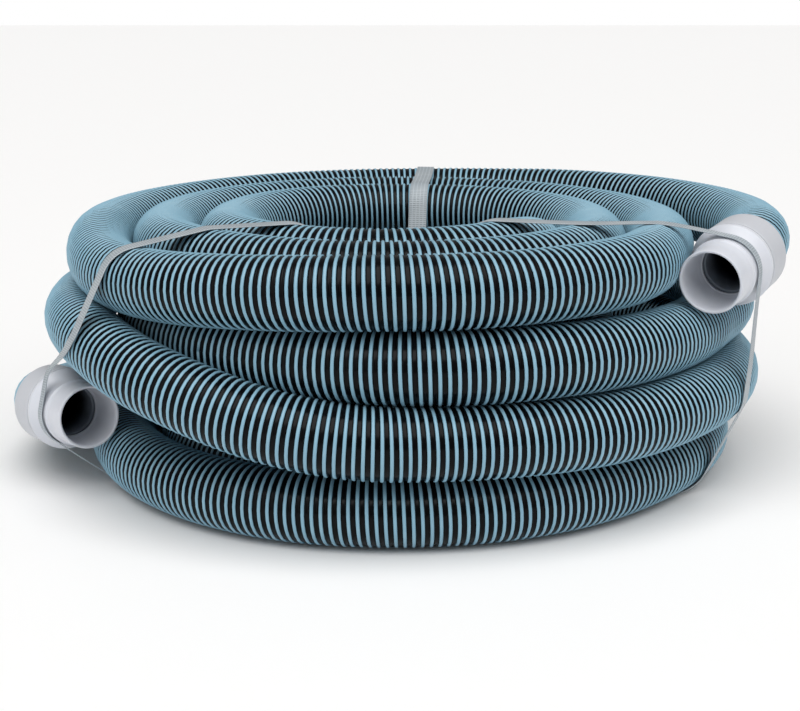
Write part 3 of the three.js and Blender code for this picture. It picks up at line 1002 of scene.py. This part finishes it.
@dataclass
class PackingStrap:
    """A strap pulled round the coil in a radial plane, and the crimped seal that holds it."""

    name: str
    angle: float
    cuff: SwivelCuff | None = None
    skew: float = 0.0  # how far the top of the strap stands aside of its radial plane
    skew_from: float = 66 * MM
    skew_to: float = 124 * MM
    lean: float = 0.0  # sideways travel for each metre inwards, where it starts at lean_from
    lean_from: float = 240 * MM
    lean_span: float = 110 * MM  # the lean levels off over this distance
    width: float = 14.5 * MM
    thickness: float = 0.6 * MM
    lift: float = 0.15 * MM
    steps: int = 440
    strands: int = 11
    groove_back: float = 27.6 * MM  # the middle of the neck's groove, behind the mouth
    wrap_r: float = 22.9 * MM
    bunched: float = 0.42  # share of its width that the strap keeps in the groove
    near: float = 30 * MM  # nearer the groove than this the strap is fully bunched
    far: float = 120 * MM  # farther than this it isn't bunched at all
    most_moved: float = 12 * MM  # the farthest that the groove draws the strap aside
    crimp: CrimpedSeal = CrimpedSeal()

    def plane(self) -> tuple[np.ndarray, np.ndarray]:
        """The outward direction in the strap's plane, and the direction across the strap."""
        a = math.radians(self.angle)
        return np.array((math.cos(a), math.sin(a), 0.0)), np.array((-math.sin(a), math.cos(a), 0.0))

    def aside(self, out: np.ndarray, height: np.ndarray) -> np.ndarray:
        """How far the strap stands aside of the radial plane, at a place in that plane.

        It is the skew times a smooth step between two heights, and then the lean times a
        hyperbolic tangent of the distance inwards, which levels off.

        Args:
            out: distance out from the coil's axis.
            height: height above the floor.

        Returns:
            The distance along the plane's normal.
        """
        t = np.clip((height - self.skew_from) / (self.skew_to - self.skew_from), 0, 1)
        inwards = self.lean_span * np.tanh((self.lean_from - out) / self.lean_span)
        return self.skew * t * t * (3 - 2 * t) + self.lean * inwards

    def groove(self) -> np.ndarray:
        """The centre of the groove in the cuff's neck."""
        return self.cuff.place.behind(self.groove_back)

    def circles(self, route: Route, hose_r: float) -> np.ndarray:
        """What the strap goes round: the turns, and the cuff's neck.

        A turn that crosses the strap at a slant shows it a wider section.

        Args:
            route: the hose's centre line.
            hose_r: the hose's outside radius.

        Returns:
            Rows of [distance out, height, half-width, half-height].
        """
        out, normal = self.plane()
        flat = route.points - COIL_CENTRE
        reach, height = flat @ out, flat[:, 2]
        beside = flat @ normal - self.aside(reach, height)
        i = np.nonzero((np.sign(beside[:-1]) != np.sign(beside[1:])) & (reach[:-1] > 0))[0]
        part = beside[i] / (beside[i] - beside[i + 1])
        slant = np.abs(route.forward[i] @ normal + self.lean * (route.forward[i] @ out))
        rows = np.stack(
            [
                reach[i] + part * (reach[i + 1] - reach[i]),
                height[i] + part * (height[i + 1] - height[i]),
                hose_r / np.clip(slant, 0.75, 1),
                np.full(len(i), hose_r),
            ],
            axis=1,
        )
        if self.cuff is None:
            return rows
        hit = self.groove() - COIL_CENTRE
        return np.concatenate([rows, [[hit @ out, hit[2], self.wrap_r, self.wrap_r]]])

    def bunching(self, middle: np.ndarray) -> tuple[np.ndarray, np.ndarray]:
        """How the strap leaves its radial plane to lie in the groove of the cuff's neck.

        The weight is 1 near the neck and falls smoothly to 0. By that weight a point moves square
        to the plane until it lies in the groove's own plane, the strap's width turns to the
        cuff's axis, and the width shrinks to its bunched share.

        Args:
            middle: points along the middle of the strap.

        Returns:
            The moved points, and at each one the strap's half-width as a vector.
        """
        _, normal = self.plane()
        half = self.width / 2
        if self.cuff is None:
            return middle, np.broadcast_to(normal * half, middle.shape)
        axis = self.cuff.place.axis
        axis = axis * np.sign(axis @ normal)
        away = np.linalg.norm(middle - self.groove(), axis=1)
        t = np.clip((self.far - away) / (self.far - self.near), 0, 1)[:, None]
        weight = t * t * (3 - 2 * t)
        to_groove = (((self.groove() - middle) @ axis) / (normal @ axis))[:, None]
        drawn = self.most_moved * np.tanh(to_groove / self.most_moved)
        moved = middle + weight**2 * drawn * normal
        direction = unit((1 - weight) * normal + weight * axis)
        return moved, direction * half * (1 - (1 - self.bunched) * weight)

    def build(self, route: Route, hose_r: float) -> None:
        """Makes the strap as one band pulled taut round the turns, with strands of points across its width,
        and then its seal.

        Args:
            route: the hose's centre line.
            hose_r: the hose's outside radius.
        """
        out, normal = self.plane()
        circles = self.circles(route, hose_r)
        across = np.linspace(-1, 1, self.strands)[None, :, None]
        surfaces = []
        for offset in (self.lift, self.lift + self.thickness):
            loop, self.length = even_loop(taut_outline(circles, offset), self.steps, math.pi)
            beside = self.aside(loop[:, 0], loop[:, 1])
            up = np.array((0.0, 0.0, 1.0))
            line = COIL_CENTRE + loop[:, :1] * out + loop[:, 1:] * up + beside[:, None] * normal
            middle, half = self.bunching(line)
            surfaces.append(middle[:, None] + across * half[:, None])
        inner, outer = surfaces
        ring = np.concatenate([outer, inner[:, ::-1]], axis=1)
        ring[..., 2] = np.maximum(ring[..., 2], 0.0)
        quads = grid_faces(self.steps, ring.shape[1], True, True)
        lengthwise = np.linspace(0, self.length, self.steps + 1)
        one_way = np.linspace(0, 1, self.strands)
        crosswise = np.concatenate([one_way, one_way[::-1], one_way[:1]])
        uv = grid_uv(lengthwise, crosswise)
        self.band = make_piece(f"{self.name}_band", ring.reshape(-1, 3), quads, uv)
        self.seal = self.build_seal(ring)

    def build_seal(self, ring: np.ndarray) -> bpy.types.Object:
        """The seal, on the strap's run down the inner side of the coil, at half height.

        Args:
            ring: the strap's grid of points.

        Returns:
            The seal.
        """
        out, normal = self.plane()
        middle = ring.mean(axis=1)
        reach = (middle - COIL_CENTRE) @ out
        outer_side = reach >= (reach.min() + reach.max()) / 2
        off_half = np.abs(middle[:, 2] - (L2 + L3) / 2 * MM) + outer_side
        at = int(np.argmin(off_half))
        forward = unit(middle[(at + 2) % len(middle)] - middle[at - 2])
        return self.crimp.build(f"{self.name}_crimp", middle[at], forward, normal)

    def dress(self, strapping: bpy.types.Material, steel: bpy.types.Material) -> None:
        """Strapping on the band, zinc on the seal."""
        dress(self.band, strapping)
        dress(self.seal, steel)

    def fasten(self) -> None:
        """Both stay with the coil."""
        fasten(self.band, "coil", "strap", self.name)
        fasten(self.seal, "coil", "crimp_seal", f"{self.name}_seal")


# ---- stage ----------------------------------------------------------------------------------
@dataclass(frozen=True)
class SoftLight:
    """A broad soft light, far enough off to fall evenly."""

    name: str
    toward: tuple[float, float, float]  # from the object to the light
    power: float  # watts for each square metre
    spread: float  # how wide it looks from the object, in degrees
    colour: Colour

    def place(self) -> None:
        """Adds the light to the scene."""
        data = bpy.data.lights.new(self.name, "SUN")
        data.energy = self.power
        data.angle = math.radians(self.spread)
        data.color = self.colour
        lamp = bpy.data.objects.new(self.name, data)
        lamp.rotation_euler = Vector(self.toward).to_track_quat("Z", "Y").to_euler()
        bpy.context.scene.collection.objects.link(lamp)


LIGHTS = (
    SoftLight("overhead", (0.0, -0.34, 0.94), 2.6, 62, (1.0, 0.985, 0.97)),
    SoftLight("from_left", (-0.75, -0.6, 0.45), 0.45, 50, (1.0, 0.985, 0.97)),
    SoftLight("from_right", (0.8, -0.35, 0.5), 0.4, 50, (1.0, 0.98, 0.96)),
)


@dataclass
class Studio:
    """The camera, the floor and the soft lights."""

    camera_back: float = 0.9825
    camera_height: float = 0.3236
    pitch_down: float = 0.252
    lens: float = 60.3
    shift_x: float = 0.00625
    floor_size: float = 60.0
    floor_colour: tuple[float, float, float] = (0.96, 0.965, 0.97)
    backdrop_strength: float = 1.0
    fill_strength: float = 0.2

    def place_camera(self) -> None:
        """A camera in front of the coil that looks down on it a little."""
        data = bpy.data.cameras.new("camera")
        data.lens = self.lens
        data.sensor_width = 36.0
        data.sensor_fit = "HORIZONTAL"
        data.shift_x = self.shift_x
        data.clip_end = 50
        camera = bpy.data.objects.new("camera", data)
        camera.location = (float(COIL_CENTRE[0]), -self.camera_back, self.camera_height)
        camera.rotation_euler = (math.pi / 2 - self.pitch_down, 0, 0)
        bpy.context.scene.collection.objects.link(camera)
        bpy.context.scene.camera = camera

    def build_floor(self) -> None:
        """A wide pale floor under the coil."""
        half = self.floor_size / 2
        corners = np.array([(-half, -half, 0), (half, -half, 0), (half, half, 0), (-half, half, 0)], float)
        floor = make_piece("floor", corners, np.array([[0, 1, 2, 3]]))
        made, tree, shader = new_material("floor_pale")
        fill(tree, shader, Base_Color=rgba(self.floor_colour), Roughness=0.6)
        dress(floor, made)

    def light_world(self) -> None:
        """A white backdrop behind the object, and a weaker even fill from it."""
        world = bpy.data.worlds.new("world")
        bpy.context.scene.world = world
        world.use_nodes = True
        tree = world.node_tree
        seen = tree.nodes.new("ShaderNodeLightPath").outputs["Is Camera Ray"]
        span = self.backdrop_strength - self.fill_strength
        strength = maths(tree, "MULTIPLY_ADD", seen, span, self.fill_strength)
        fill(tree, tree.nodes["Background"], Color=rgba((1.0, 1.0, 1.0)), Strength=strength)

    def build(self) -> None:
        """Floor, backdrop and three broad soft lights."""
        self.build_floor()
        self.light_world()
        for light in LIGHTS:
            light.place()
        bpy.context.scene.view_settings.view_transform = "Standard"


# ---- assembly -------------------------------------------------------------------------------
def cuff_place(side: str) -> CuffPlace:
    """A cuff's place, from its swivel joint in the frame."""
    joint = next(j for j in frame["joints"] if j["name"] == f"{side}_cuff_swivel")
    return CuffPlace(side, np.array(joint["pos_m"]), unit(np.array(joint["axis"])))


def main() -> None:
    """Builds the studio's camera, the hose, the cuffs and the straps, and fastens them."""
    logging.basicConfig(level=logging.INFO, format="%(name)s: %(message)s")
    studio = Studio()
    studio.place_camera()

    places = {side: cuff_place(side) for side in ("right", "left")}
    hose = SpiralHose()
    route = hose.route(places["right"], places["left"])
    hose.build(route)
    hose.dress()
    hose.fasten()
    LOG.info("hose %.2f m, %d lengths of rib and web", route.length, len(hose.ribs + hose.webs))

    finishes = {
        "cuff": CUFF_WHITE.material(),
        "washer": WASHER_WHITE.material(),
        "collar": COLLAR_WHITE.material(),
        "sleeve": SLEEVE_GREY.material(),
        "seal": SEAL_RUBBER.material(),
    }
    cuffs = {side: SwivelCuff(place) for side, place in places.items()}
    for side, cuff in cuffs.items():
        cuff.build()
        cuff.dress(finishes)
        cuff.fasten()
        LOG.info("%s cuff built", side)

    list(cuffs["left"].shown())

    strapping, steel = STRAPPING.material(), ZINC_CRIMP.material()
    straps = (
        PackingStrap("strap_back", 83.2, lean=-0.075),
        PackingStrap("strap_right", -26.2, cuffs["right"], lean=-0.45, most_moved=40 * MM),
        PackingStrap("strap_left", 202.8, cuffs["left"], skew=60 * MM),
    )
    for strap in straps:
        strap.build(route, hose.outer_r)
        strap.dress(strapping, steel)
        strap.fasten()
        LOG.info("%s built, %.3f m round", strap.name, strap.length)

    studio.build()


if __name__ == "__main__":
    main()
